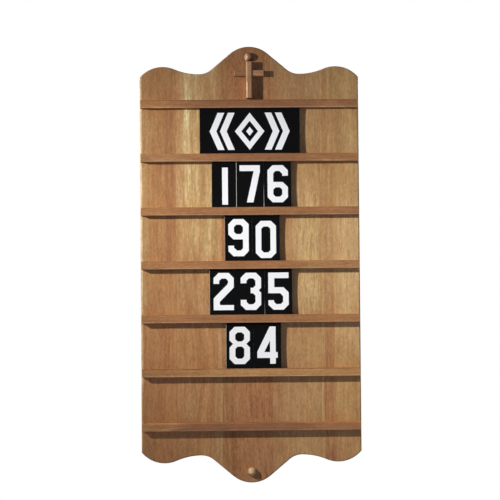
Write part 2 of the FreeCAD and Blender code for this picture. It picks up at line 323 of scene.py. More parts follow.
class SawnGrain(SharedEffect):
    """Solid wood: wavy growth rings round a far pith, mottle, streaks, flecks and pores along Z."""

    title = "sawn grain"
    takes = {"Vector": "Vector", "Place": "Vector", "Pale": "Color", "Tone": "Color", "Deep": "Color",
             "Ring": "Float", "Figure": "Float", "Curl": "Float", "Flecks": "Float", "Pores": "Float",
             "Seed": "Float", "End": "Float"}
    gives = {"Color": "Color", "Gloss": "Float", "Height": "Float"}
    seed_shifts: ClassVar[dict[str, float]] = {"X": 1.7, "Y": 0.9, "Z": 2.3}
    ring_shift: ClassVar[float] = 13.3
    wide_bands: ClassVar[float] = 0.22
    slow_reach: ClassVar[float] = 30.0 * MM
    quick_reach: ClassVar[float] = 4.2 * MM
    cool: ClassVar[Colour] = (0.985, 1.01, 1.02, 1.0)
    warm: ClassVar[Colour] = (1.015, 0.99, 0.955, 1.0)
    fleck_tint: ClassVar[Colour] = (0.66, 0.52, 0.42, 1.0)
    pore_tint: ClassVar[Colour] = (0.42, 0.32, 0.26, 1.0)
    end_tint: ClassVar[Colour] = (0.60, 0.52, 0.45, 1.0)

    @classmethod
    def draw(cls, tree: ShaderTree, given: dict[str, Socket]) -> dict[str, Socket]:
        """Draws the wood: Vector is measured from the pith, Place from the board's origin.

        Args:
            tree: The group's tree.
            given: The group's inputs by name.

        Returns:
            The wood's colour, gloss and height.
        """
        seed = given["Seed"]
        shifts = {axis: tree.math("MULTIPLY", seed, step) for axis, step in cls.seed_shifts.items()}
        place = tree.vector("ADD", given["Place"], tree.place("ShaderNodeCombineXYZ", shifts).outputs[0])
        slow = cls.waver(tree, place, (8.0, 8.0, 5.0), cls.slow_reach)
        quick = cls.waver(tree, place, (45.0, 45.0, 26.0), cls.quick_reach)
        wave = tree.vector("ADD", slow, quick)
        place = tree.vector("ADD", place, quick)
        section = tree.vector("MULTIPLY", tree.vector("ADD", given["Vector"], wave), (1.0, 1.0, 0.0))
        radius = tree.math("DIVIDE", tree.vector("LENGTH", section), given["Ring"])
        start = tree.math("MULTIPLY", seed, cls.ring_shift)
        wide = tree.bands(tree.math("MULTIPLY_ADD", radius, cls.wide_bands, start), 1.0)
        rings = tree.bands(tree.math("ADD", radius, start), 2.0)
        streaks = tree.noise(place, (190.0, 190.0, 11.0), 2.0, 0.6)
        mottle = tree.noise(place, (46.0, 46.0, 24.0), 2.0, 0.55)
        silk = tree.noise(place, (400.0, 400.0, 130.0), 2.0, 0.65)
        flecks = tree.noise(place, (560.0, 560.0, 120.0), 1.0, 0.6)
        pores = tree.noise(place, (2300.0, 2300.0, 110.0), 1.0)

        tone = 0.5
        for part, weight, by in ((wide, 0.7, "Figure"), (rings, 0.75, "Figure"), (streaks, 1.2, "Figure"),
                                 (mottle, 1.0, "Curl"), (silk, 1.7, "Curl")):
            centred = tree.math("SUBTRACT", part, 0.5)
            tone = tree.math("MULTIPLY_ADD", tree.math("MULTIPLY", centred, weight), given[by], tone)
        low = tree.math("MULTIPLY", tone, 2.0, clamp=True)
        high = tree.math("MULTIPLY_ADD", tone, 2.0, -1.0, clamp=True)
        colour = tree.mix(high, tree.mix(low, given["Deep"], given["Tone"]), given["Pale"])
        warmth = tree.spread(tree.noise(place, (60.0, 60.0, 17.0), 1.0), 0.30, 0.70)
        colour = tree.mix(1.0, colour, tree.mix(warmth, cls.cool, cls.warm), "MULTIPLY")

        fleck_mask = tree.spread(flecks, 0.55, 0.70)
        pore_mask = tree.spread(pores, 0.58, 0.70)
        for share, tint in ((tree.math("MULTIPLY", fleck_mask, given["Flecks"]), cls.fleck_tint),
                            (tree.math("MULTIPLY", pore_mask, given["Pores"]), cls.pore_tint),
                            (given["End"], cls.end_tint)):
            colour = tree.mix(share, colour, tint, "MULTIPLY")
        gloss = tree.math("MULTIPLY_ADD", fleck_mask, -0.35, tree.math("SUBTRACT", 1.0, pore_mask))
        height = tree.math("MULTIPLY_ADD", pore_mask, -0.7, tree.math("MULTIPLY", rings, 0.35))
        height = tree.math("MULTIPLY_ADD", fleck_mask, -0.25, height)
        return {"Color": colour, "Gloss": gloss, "Height": height}

    @staticmethod
    def waver(tree: ShaderTree, place: Socket, stretch: Triple, reach: float) -> Socket:
        """Sideways shift that makes the grain wander.

        Args:
            tree: The group's tree.
            place: Place in metres.
            stretch: Waves per metre along each axis.
            reach: Full width of the wandering in metres.

        Returns:
            The shift's vector socket, level with the grain's end.
        """
        scaled = tree.vector("MULTIPLY", place, stretch)
        noise = tree.place("ShaderNodeTexNoise", {"Vector": scaled, "Scale": 1.0, "Detail": 1.0})
        centred = tree.vector("SUBTRACT", noise.outputs[1], (0.5, 0.5, 0.5))
        return tree.vector("MULTIPLY", centred, (reach, reach, 0.0))


class EndGrain(SharedEffect):
    """Mask of the faces that are sawn across the grain."""

    title = "end grain"
    takes = {"Normal": "Vector", "Along": "Vector"}
    gives = {"Mask": "Float"}

    @classmethod
    def draw(cls, tree: ShaderTree, given: dict[str, Socket]) -> dict[str, Socket]:
        """Draws the mask from how squarely a face looks along the grain.

        Args:
            tree: The group's tree.
            given: The group's inputs by name.

        Returns:
            The mask.
        """
        facing = tree.vector("DOT_PRODUCT", given["Normal"], given["Along"])
        return {"Mask": tree.spread(tree.math("ABSOLUTE", facing), 0.45, 0.9)}


class StripeMask(SharedEffect):
    """Mask of one band that runs with the grain and wanders a little: a streak in the wood, or a line of
    painted light or shade.
    """

    title = "streak"
    takes = {"Place": "Vector", "Centre": "Float", "Half": "Float", "Soft": "Float", "Wander": "Float",
             "Low": "Float", "High": "Float", "Fade": "Float"}
    gives = {"Mask": "Float"}
    ragged_ends: ClassVar[float] = 120.0 * MM

    @classmethod
    def draw(cls, tree: ShaderTree, given: dict[str, Socket]) -> dict[str, Socket]:
        """Draws the band from the distance across the grain, fading it at both of its ends.

        Args:
            tree: The group's tree.
            given: The group's inputs by name.

        Returns:
            The mask.
        """
        axes = tree.place("ShaderNodeSeparateXYZ", {0: given["Place"]}).outputs
        across, along = axes["X"], axes["Z"]
        slow = tree.noise(given["Place"], (22.0, 0.0, 9.0), 2.0, 0.55)
        shift = tree.math("MULTIPLY", tree.math("SUBTRACT", slow, 0.5), given["Wander"])
        moved = tree.math("ADD", across, shift)
        far = tree.math("ABSOLUTE", tree.math("SUBTRACT", moved, given["Centre"]))
        edge = tree.math("ADD", given["Half"], given["Soft"])
        inside = tree.math("SUBTRACT", given["Half"], given["Soft"])
        solid = tree.spread(far, inside, edge, 1.0, 0.0)
        ragged = tree.math("MULTIPLY_ADD", tree.noise(given["Place"], (120.0, 120.0, 9.0), 1.0),
                           cls.ragged_ends, tree.math("SUBTRACT", along, cls.ragged_ends / 2))
        for limit, outwards in (("Low", -1.0), ("High", 1.0)):
            beyond = tree.math("MULTIPLY", tree.math("SUBTRACT", ragged, given[limit]), outwards)
            solid = tree.math("MULTIPLY", solid, tree.spread(beyond, 0.0, given["Fade"], 1.0, 0.0))
        broken = tree.noise(given["Place"], (430.0, 430.0, 30.0), 2.0)
        return {"Mask": tree.math("MULTIPLY", solid, tree.spread(broken, 0.3, 0.6, 0.4, 1.0))}


class GlueSeam(SharedEffect):
    """Mask of the thin glue lines at a stave's two long edges."""

    title = "glue seam"
    takes = {"Place": "Vector", "Low": "Float", "High": "Float", "Width": "Float"}
    gives = {"Mask": "Float"}

    @classmethod
    def draw(cls, tree: ShaderTree, given: dict[str, Socket]) -> dict[str, Socket]:
        """Draws both lines from the distance to the nearer edge.

        Args:
            tree: The group's tree.
            given: The group's inputs by name.

        Returns:
            The mask.
        """
        across = tree.place("ShaderNodeSeparateXYZ", {0: given["Place"]}).outputs["X"]
        near_low = tree.math("SUBTRACT", across, given["Low"])
        near_high = tree.math("SUBTRACT", given["High"], across)
        nearest = tree.math("ABSOLUTE", tree.math("MINIMUM", near_low, near_high))
        return {"Mask": tree.spread(nearest, 0.0, given["Width"], 1.0, 0.0)}


class WornEdge(SharedEffect):
    """Mask of the edges that hands and cloths rub."""

    title = "worn edge"
    takes = {"Place": "Vector", "Reach": "Float"}
    gives = {"Mask": "Float"}

    @classmethod
    def draw(cls, tree: ShaderTree, given: dict[str, Socket]) -> dict[str, Socket]:
        """Draws the mask where a rounded normal leaves the true one, broken up by noise.

        Args:
            tree: The group's tree.
            given: The group's inputs by name.

        Returns:
            The mask.
        """
        rounded = tree.place("ShaderNodeBevel", {"Radius": given["Reach"]}, samples=4).outputs[0]
        true = tree.place("ShaderNodeNewGeometry").outputs["True Normal"]
        parted = tree.math("SUBTRACT", 1.0, tree.vector("DOT_PRODUCT", rounded, true))
        patchy = tree.noise(given["Place"], (70.0, 70.0, 70.0), 2.0)
        return {"Mask": tree.math("MULTIPLY", tree.spread(parted, 0.02, 0.22),
                                  tree.spread(patchy, 0.34, 0.62, 0.35, 1.0))}


class SheetFace(SharedEffect):
    """Face of a plastic sheet: fine pressed grain, faint scuffs and a little dust."""

    title = "sheet face"
    takes = {"Place": "Vector", "Base": "Color", "Dust": "Color", "Amount": "Float"}
    gives = {"Color": "Color", "Gloss": "Float", "Height": "Float"}

    @classmethod
    def draw(cls, tree: ShaderTree, given: dict[str, Socket]) -> dict[str, Socket]:
        """Draws the sheet's colour, gloss and relief.

        Args:
            tree: The group's tree.
            given: The group's inputs by name.

        Returns:
            The sheet's colour, gloss and height.
        """
        place = given["Place"]
        grain = tree.noise(place, (1900.0, 1900.0, 1900.0), 1.0)
        cloud = tree.noise(place, (34.0, 34.0, 21.0), 3.0, 0.6)
        scuffs = tree.noise(place, (60.0, 60.0, 900.0), 2.0)
        scuff_mask = tree.math("MULTIPLY", tree.spread(scuffs, 0.62, 0.74), tree.spread(cloud, 0.5, 0.7))
        dusty = tree.math("MULTIPLY", tree.math("ADD", tree.spread(cloud, 0.35, 0.75), scuff_mask),
                          given["Amount"])
        return {"Color": tree.mix(dusty, given["Base"], given["Dust"]),
                "Gloss": tree.math("MULTIPLY_ADD", cloud, 0.6, tree.math("MULTIPLY", scuff_mask, -0.5)),
                "Height": tree.math("MULTIPLY_ADD", scuff_mask, -0.5, grain)}


# Finishes

class Grain(Enum):
    """Which way the grain of a piece runs: its turn onto the pattern's Z axis and its direction."""

    UPRIGHT = ((0.0, 0.0, 0.0), (0.0, 0.0, 1.0))
    LEVEL = ((0.0, math.pi / 2, 0.0), (1.0, 0.0, 0.0))

    @property
    def turn(self) -> Triple:
        """Turn that brings the grain onto the pattern's Z axis."""
        return self.value[0]

    @property
    def along(self) -> Triple:
        """Direction of the grain on the object."""
        return self.value[1]


@dataclass(frozen=True)
class Stripe:
    """A band of another colour on a piece of wood, placed across its grain in millimetres. Most are
    streaks in the wood; some are a painted highlight or painted shade along an edge.

    Where the grain is level, low and high count from the middle towards the left end.
    """

    centre: float
    width: float
    colour: Colour
    strength: float
    soft: float
    wander: float
    low: float = -600.0
    high: float = 600.0
    fade: float = 90.0

    def tint(self, tree: ShaderTree, place: Socket, colour: Socket, ground: Colour) -> Socket:
        """Draws the band over a colour, keeping the figure beneath it.

        Args:
            tree: The material's tree.
            place: Place with the grain along Z, in metres.
            colour: The colour beneath.
            ground: What that colour is on average.

        Returns:
            The streaked colour.
        """
        mask = StripeMask.use(tree, Place=place, Centre=self.centre * MM, Half=self.width / 2 * MM,
                          Soft=self.soft * MM, Wander=self.wander * MM, Low=self.low * MM,
                          High=self.high * MM, Fade=self.fade * MM)["Mask"]
        change = tuple(own / other for own, other in zip(self.colour, ground))
        body = tree.mix(1.0, colour, change, "MULTIPLY")
        return tree.mix(tree.math("MULTIPLY", mask, self.strength), colour, body)


@dataclass(frozen=True)
class Finish:
    """Base of the finishes: a named material with one Principled shader."""

    name: str

    def start(self) -> tuple[bpy.types.Material, ShaderTree, bpy.types.Node, bpy.types.Node]:
        """Makes the empty material.

        Returns:
            The material, its tree, its Principled node and a Texture Coordinate node.
        """
        material = bpy.data.materials.new(self.name)
        material.use_nodes = True
        tree = ShaderTree(material.node_tree)
        shader = material.node_tree.nodes["Principled BSDF"]
        return material, tree, shader, tree.place("ShaderNodeTexCoord")


@dataclass(frozen=True)
class WoodFinish(Finish):
    """Satin lacquer on one piece of hardwood."""

    pale: Colour
    tone: Colour
    deep: Colour
    grain: Grain = Grain.UPRIGHT
    seed: float = 1.0
    pith: Triple = (0.0, 0.14, 0.0)
    lean: tuple[float, float] = (0.0, 0.0)
    ring: float = 3.2
    figure: float = 0.8
    curl: float = 0.8
    flecks: float = 0.36
    pores: float = 0.35
    roughness: float = 0.46
    specular: float = 0.24
    coat: float = 0.12
    coat_roughness: float = 0.22
    stripes: tuple[Stripe, ...] = ()
    seams: tuple[float, float] | None = None
    seam_width: float = 0.35
    seam_strength: float = 0.75
    seam_tint: Colour = (0.36, 0.26, 0.20, 1.0)
    seam_depth: float = 0.8
    rubbed: float = 0.30
    rubbed_reach: float = 1.1
    gloss_play: float = 0.14
    gloss_middle: float = 0.12
    end_dullness: float = 0.16
    ripple: float = 0.35
    relief: float = 0.35
    relief_depth: float = 0.12

    def material(self) -> bpy.types.Material:
        """Builds the wood's material.

        Returns:
            The material.
        """
        material, tree, shader, where = self.start()
        turned = tree.place("ShaderNodeMapping", {"Vector": where.outputs["Object"],
                                                  "Rotation": self.grain.turn}).outputs[0]
        lean = (math.radians(self.lean[0]), math.radians(self.lean[1]), 0.0)
        from_pith = tree.place("ShaderNodeMapping", {"Vector": turned, "Location": self.pith,
                                                     "Rotation": lean}).outputs[0]
        end = EndGrain.use(tree, Normal=where.outputs["Normal"], Along=self.grain.along)["Mask"]
        wood = SawnGrain.use(tree, Vector=from_pith, Place=turned, Pale=self.pale, Tone=self.tone,
                             Deep=self.deep, Ring=self.ring * MM, Figure=self.figure, Curl=self.curl,
                             Flecks=self.flecks, Pores=self.pores, Seed=self.seed, End=end)
        colour, height = wood["Color"], wood["Height"]
        for stripe in self.stripes:
            colour = stripe.tint(tree, turned, colour, self.tone)
        worn = WornEdge.use(tree, Place=turned, Reach=self.rubbed_reach * MM)["Mask"]
        colour = tree.mix(tree.math("MULTIPLY", worn, self.rubbed), colour, self.pale)
        if self.seams:
            seam = GlueSeam.use(tree, Place=turned, Low=self.seams[0], High=self.seams[1],
                                Width=self.seam_width * MM)["Mask"]
            colour = tree.mix(tree.math("MULTIPLY", seam, self.seam_strength), colour, self.seam_tint,
                              "MULTIPLY")
            height = tree.math("MULTIPLY_ADD", seam, -self.seam_depth, height)
        dull = tree.math("MULTIPLY_ADD", wood["Gloss"], -self.gloss_play,
                         self.roughness + self.gloss_middle)
        dull = tree.math("MULTIPLY_ADD", end, self.end_dullness, dull, clamp=True)
        ripple = tree.noise(where.outputs["Object"], (150.0, 150.0, 150.0), 1.0)
        height = tree.math("MULTIPLY_ADD", ripple, self.ripple, height)
        tree.fill(shader, {"Base Color": colour, "Roughness": dull,
                           "Normal": tree.bump(height, self.relief, self.relief_depth * MM),
                           "Specular IOR Level": self.specular, "Coat Weight": self.coat,
                           "Coat Roughness": self.coat_roughness})
        return material


@dataclass(frozen=True)
class SheetFinish(Finish):
    """Plastic sheet or printing ink of a card."""

    base: Colour
    dust: Colour
    dusty: float
    roughness: float
    specular: float
    gloss_play: float = 0.22
    gloss_middle: float = 0.07
    relief: float = 0.2
    relief_depth: float = 0.03

    def material(self) -> bpy.types.Material:
        """Builds the sheet's material.

        Returns:
            The material.
        """
        material, tree, shader, where = self.start()
        face = SheetFace.use(tree, Place=where.outputs["Object"], Base=self.base, Dust=self.dust,
                             Amount=self.dusty)
        dull = tree.math("MULTIPLY_ADD", face["Gloss"], -self.gloss_play,
                         self.roughness + self.gloss_middle, clamp=True)
        tree.fill(shader, {"Base Color": face["Color"], "Roughness": dull,
                           "Normal": tree.bump(face["Height"], self.relief, self.relief_depth * MM),
                           "Specular IOR Level": self.specular})
        return material


@dataclass(frozen=True)
class SteelFinish(Finish):
    """Zinc-plated steel, turned and a little tarnished."""

    bright: Colour
    dull: Colour
    rubbed_reach: float = 0.25
    relief: float = 0.25
    relief_depth: float = 0.02

    def material(self) -> bpy.types.Material:
        """Builds the steel's material.

        Returns:
            The material.
        """
        material, tree, shader, where = self.start()
        place = where.outputs["Object"]
        cloud = tree.noise(place, (420.0, 420.0, 420.0), 3.0, 0.6)
        marks = tree.noise(place, (4200.0, 300.0, 4200.0), 1.0)
        worn = WornEdge.use(tree, Place=place, Reach=self.rubbed_reach * MM)["Mask"]
        tarnish = tree.math("SUBTRACT", tree.spread(cloud, 0.4, 0.68), worn, clamp=True)
        tree.fill(shader, {"Base Color": tree.mix(tarnish, self.bright, self.dull), "Metallic": 1.0,
                           "Roughness": tree.spread(cloud, 0.3, 0.7, 0.28, 0.46),
                           "Normal": tree.bump(marks, self.relief, self.relief_depth * MM)})
        return material


# Shapes

def show(name: str, shape: Shape, material: bpy.types.Material, smooth: float | None = None
         ) -> bpy.types.Object:
    """Turns a bmesh into an object of the scene.

    Args:
        name: The piece's name.
        shape: The bmesh, in metres, which is freed.
        material: Its material.
        smooth: Steepest edge in degrees that is shaded smooth, or None for flat faces.

    Returns:
        The object, at the origin.
    """
    mesh = bpy.data.meshes.new(name)
    shape.to_mesh(mesh)
    shape.free()
    mesh.materials.append(material)
    if smooth is not None:
        mesh.polygons.foreach_set("use_smooth", [True] * len(mesh.polygons))
        mesh.set_sharp_from_angle(angle=math.radians(smooth))
    piece = bpy.data.objects.new(name, mesh)
    bpy.context.scene.collection.objects.link(piece)
    return piece


def dress(node: str, material: bpy.types.Material) -> None:
    """Gives a CAD node its finish.

    Args:
        node: The node's name.
        material: Its material.
    """
    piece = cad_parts[node]
    if not piece.material_slots:
        piece.data.materials.append(material)
    for slot in piece.material_slots:
        slot.material = material


def slice_level(shape: Shape, low: float, high: float, slices: int) -> None:
    """Cuts level edges into a shape, so that it can be bent.

    Args:
        shape: The bmesh.
        low: Height of its foot.
        high: Height of its head.
        slices: How many parts the cuts leave.
    """
    for index in range(1, slices):
        height = low + (high - low) * index / slices
        bmesh.ops.bisect_plane(shape, geom=shape.verts[:] + shape.edges[:] + shape.faces[:],
                               dist=1e-7, plane_co=(0.0, 0.0, height), plane_no=(0.0, 0.0, 1.0))


def join(whole: Shape, part: Shape) -> None:
    """Adds one bmesh to another.

    Args:
        whole: The bmesh that grows.
        part: The bmesh that goes into it, which is freed.
    """
    mesh = bpy.data.meshes.new("part")
    part.to_mesh(mesh)
    part.free()
    whole.from_mesh(mesh)
    bpy.data.meshes.remove(mesh)


def draw_down(shape: Shape, ring: list, share: float, drop: float) -> list:
    """Extrudes a level ring of edges to a ring further down.

    Args:
        shape: The bmesh.
        ring: The edges, in one plane and round the Z axis.
        share: Size of the new ring against the old one.
        drop: How far down it lies, in metres.

    Returns:
        The new ring's edges.
    """
    made = bmesh.ops.extrude_edge_only(shape, edges=ring)["geom"]
    verts = [part for part in made if isinstance(part, bmesh.types.BMVert)]
    bmesh.ops.scale(shape, verts=verts, vec=(share, share, 1.0))
    bmesh.ops.translate(shape, verts=verts, vec=(0.0, 0.0, -drop))
    return [part for part in made if isinstance(part, bmesh.types.BMEdge)]


@dataclass(frozen=True)
class Glyph:
    """A flat figure: corners in millimetres from its top left, each with the length cut off it."""

    outline: Loop
    holes: tuple[Loop, ...] = ()
    slices: int = 10

    @property
    def width(self) -> float:
        """Width of the outline."""
        return max(corner[0] for corner in self.outline)

    @property
    def height(self) -> float:
        """Height of the outline."""
        return max(corner[1] for corner in self.outline)

    def turned(self) -> "Glyph":
        """The same figure turned half round.

        Returns:
            The turned figure.
        """
        def turn(loop: Loop) -> Loop:
            """One loop turned half round."""
            return tuple((self.width - x, self.height - y, cut) for x, y, cut in loop)
        return Glyph(turn(self.outline), tuple(turn(hole) for hole in self.holes))

    def plate(self, left: float, top: float, thickness: float) -> Shape:
        """Cuts the figure out of a thin sheet that faces -Y, with its back on Y = 0.

        Args:
            left: Left side, in metres.
            top: Top, in metres.
            thickness: Thickness in metres.

        Returns:
            The plate.
        """
        shape = bmesh.new()
        for loop in (self.outline, *self.holes):
            corners = [shape.verts.new((left + x * MM, 0.0, top - y * MM)) for x, y, _ in loop]
            for start, end in zip(corners, corners[1:] + corners[:1]):
                shape.edges.new((start, end))
            for length in sorted({cut for _, _, cut in loop if cut}):
                cut_here = [vert for vert, (_, _, cut) in zip(corners, loop) if cut == length]
                bmesh.ops.bevel(shape, geom=cut_here, offset=length * MM, offset_type="OFFSET",
                                segments=1, profile=0.5, affect="VERTICES", material=-1)
        bmesh.ops.triangle_fill(shape, use_beauty=True, edges=shape.edges[:])
        slice_level(shape, top - self.height * MM, top, self.slices)
        raised = bmesh.ops.extrude_face_region(shape, geom=shape.faces[:])["geom"]
        moved = [part for part in raised if isinstance(part, bmesh.types.BMVert)]
        bmesh.ops.translate(shape, verts=moved, vec=(0.0, -thickness, 0.0))
        bmesh.ops.recalc_face_normals(shape, faces=shape.faces[:])
        return shape


def box_loop(left: float, top: float, right: float, bottom: float, cut: float) -> Loop:
    """Loop of a rectangle whose corners are all cut alike.

    Args:
        left: Left side.
        top: Top.
        right: Right side.
        bottom: Bottom.
        cut: Length cut off each corner.

    Returns:
        The loop's corners.
    """
    return (left, top, cut), (right, top, cut), (right, bottom, cut), (left, bottom, cut)


@dataclass(frozen=True)
class BlockFace:
    """Proportions of the block numerals, in millimetres."""

    width: float = 42.6
    height: float = 77.8
    stroke: float = 11.8
    cut: float = 10.6
    inner_cut: float = 4.8

    @property
    def far(self) -> float:
        """Left side of the right-hand stroke."""
        return self.width - self.stroke

    @property
    def sizes(self) -> tuple[float, ...]:
        """Width, height, stroke, left side of the right-hand stroke, and cut of an inner corner."""
        return self.width, self.height, self.stroke, self.far, self.inner_cut

    def nought(self) -> Glyph:
        """Ring with cut corners.

        Returns:
            The numeral.
        """
        width, height, stroke, far, bend = self.sizes
        return Glyph(box_loop(0, 0, width, height, self.cut),
                     (box_loop(stroke, stroke, far, height - stroke, bend),))

    def one(self) -> Glyph:
        """Plain upright bar."""
        return Glyph(box_loop(0, 0, self.stroke + 0.3, self.height, 0))

    def two(self) -> Glyph:
        """Hooked head, slanting stroke and level foot.

        Returns:
            The numeral.
        """
        width, height, stroke, bend = self.width - 0.4, self.height, self.stroke, self.inner_cut
        far, foot = width - stroke, height - stroke + 1.2
        return Glyph(((0, 0, self.cut), (width, 0, self.cut), (width, 30.6, 0), (stroke + 0.9, 60.6, 0),
                      (stroke + 0.9, foot, 1.4), (width, foot, 0), (width, height, 0), (0, height, 0),
                      (0, 53.0, 0), (far, 22.6, 2.4), (far, stroke, bend), (stroke, stroke, bend),
                      (stroke, 22.8, 0), (0, 22.8, 0)))

    def three(self) -> Glyph:
        """Two open bowls that meet in a notched waist.

        Returns:
            The numeral.
        """
        width, height, stroke, far, bend = self.sizes
        foot = height - stroke
        return Glyph(((0, 0, self.cut), (width, 0, self.cut), (width, 31.8, 0), (width - 5, 36.8, 0),
                      (width, 41.8, 0), (width, height, self.cut), (0, height, self.cut), (0, 56.6, 0),
                      (stroke + 0.4, 56.6, 0), (stroke + 0.4, foot, bend), (far, foot, bend),
                      (far, 43.0, bend), (20.8, 43.0, 0), (20.8, 31.6, 0), (far, 31.6, bend),
                      (far, stroke, bend), (stroke + 0.4, stroke, bend), (stroke + 0.4, 22.0, 0),
                      (0, 22.0, 0)))

    def four(self) -> Glyph:
        """Closed triangle on a level bar that the stem crosses.

        Returns:
            The numeral.
        """
        width, height = self.width, self.height
        stem, right, bar = width - 4.1 - self.stroke, width - 4.1, 53.6
        return Glyph(((stem - 0.7, 0, 0), (right, 0, 0), (right, bar, 0), (width, bar, 0),
                      (width, bar + self.stroke, 0), (right, bar + self.stroke, 0), (right, height, 0),
                      (stem, height, 0), (stem, bar + self.stroke, 0), (0, bar + self.stroke, 0),
                      (0, bar - 0.9, 0)),
                     (((stem, 29.0, 0), (stem, bar - 0.2, 0), (14.6, bar - 0.2, 0)),))

    def five(self) -> Glyph:
        """Level head, short stem and open bowl.

        Returns:
            The numeral.
        """
        width, height, stroke, far, bend = self.sizes
        foot = height - stroke
        return Glyph(((0, 0, 0), (width, 0, 0), (width, stroke, 0), (stroke + 0.8, stroke, 0),
                      (stroke + 0.8, 30.8, 0), (width, 30.8, self.cut), (width, height, self.cut),
                      (0, height, self.cut), (0, 57.8, 0), (stroke, 57.8, 0), (stroke, foot, bend),
                      (far, foot, bend), (far, 43.2, 6), (0, 43.2, 0)))

    def six(self) -> Glyph:
        """Closed bowl under a hooked head.

        Returns:
            The numeral.
        """
        width, height, stroke, far, bend = self.sizes
        edge = stroke + 0.2
        return Glyph(((0, 0, self.cut), (width, 0, self.cut), (width, 22.2, 0), (far, 22.2, 0),
                      (far, edge, 6), (edge, edge, bend), (edge, 35.2, 0), (width, 35.2, self.cut),
                      (width, height, self.cut), (0, height, self.cut)),
                     (box_loop(edge, 46.4, far, height - stroke, bend),))

    def seven(self) -> Glyph:
        """Level head and slanting stem.

        Returns:
            The numeral.
        """
        width, height, stroke = self.width, self.height, self.stroke
        return Glyph(((0, 0, 0), (width, 0, 0), (width, stroke + 2, 0), (28.6, height, 0),
                      (14.9, height, 0), (width - 13.0, stroke + 0.3, 0), (0, stroke + 0.3, 0)))

    def eight(self) -> Glyph:
        """Two closed bowls with a notched waist.

        Returns:
            The numeral.
        """
        width, height, stroke, far, bend = self.sizes
        waist, notch = 35.8, 7.5
        return Glyph(((0, 0, self.cut), (width, 0, self.cut), (width, waist - notch, 0),
                      (width - notch, waist, 0), (width, waist + notch, 0), (width, height, self.cut),
                      (0, height, self.cut), (0, waist + notch, 0), (notch, waist, 0),
                      (0, waist - notch, 0)),
                     (box_loop(stroke + 0.3, stroke, far, 30.8, bend),
                      box_loop(stroke + 0.3, 41.4, far, height - stroke + 0.6, bend)))


FACE = BlockFace()


class Numeral(Enum):
    """The numerals of the number cards."""

    NOUGHT = FACE.nought()
    ONE = FACE.one()
    TWO = FACE.two()
    THREE = FACE.three()
    FOUR = FACE.four()
    FIVE = FACE.five()
    SIX = FACE.six()
    SEVEN = FACE.seven()
    EIGHT = FACE.eight()
    NINE = FACE.six().turned()


# Sub-assemblies

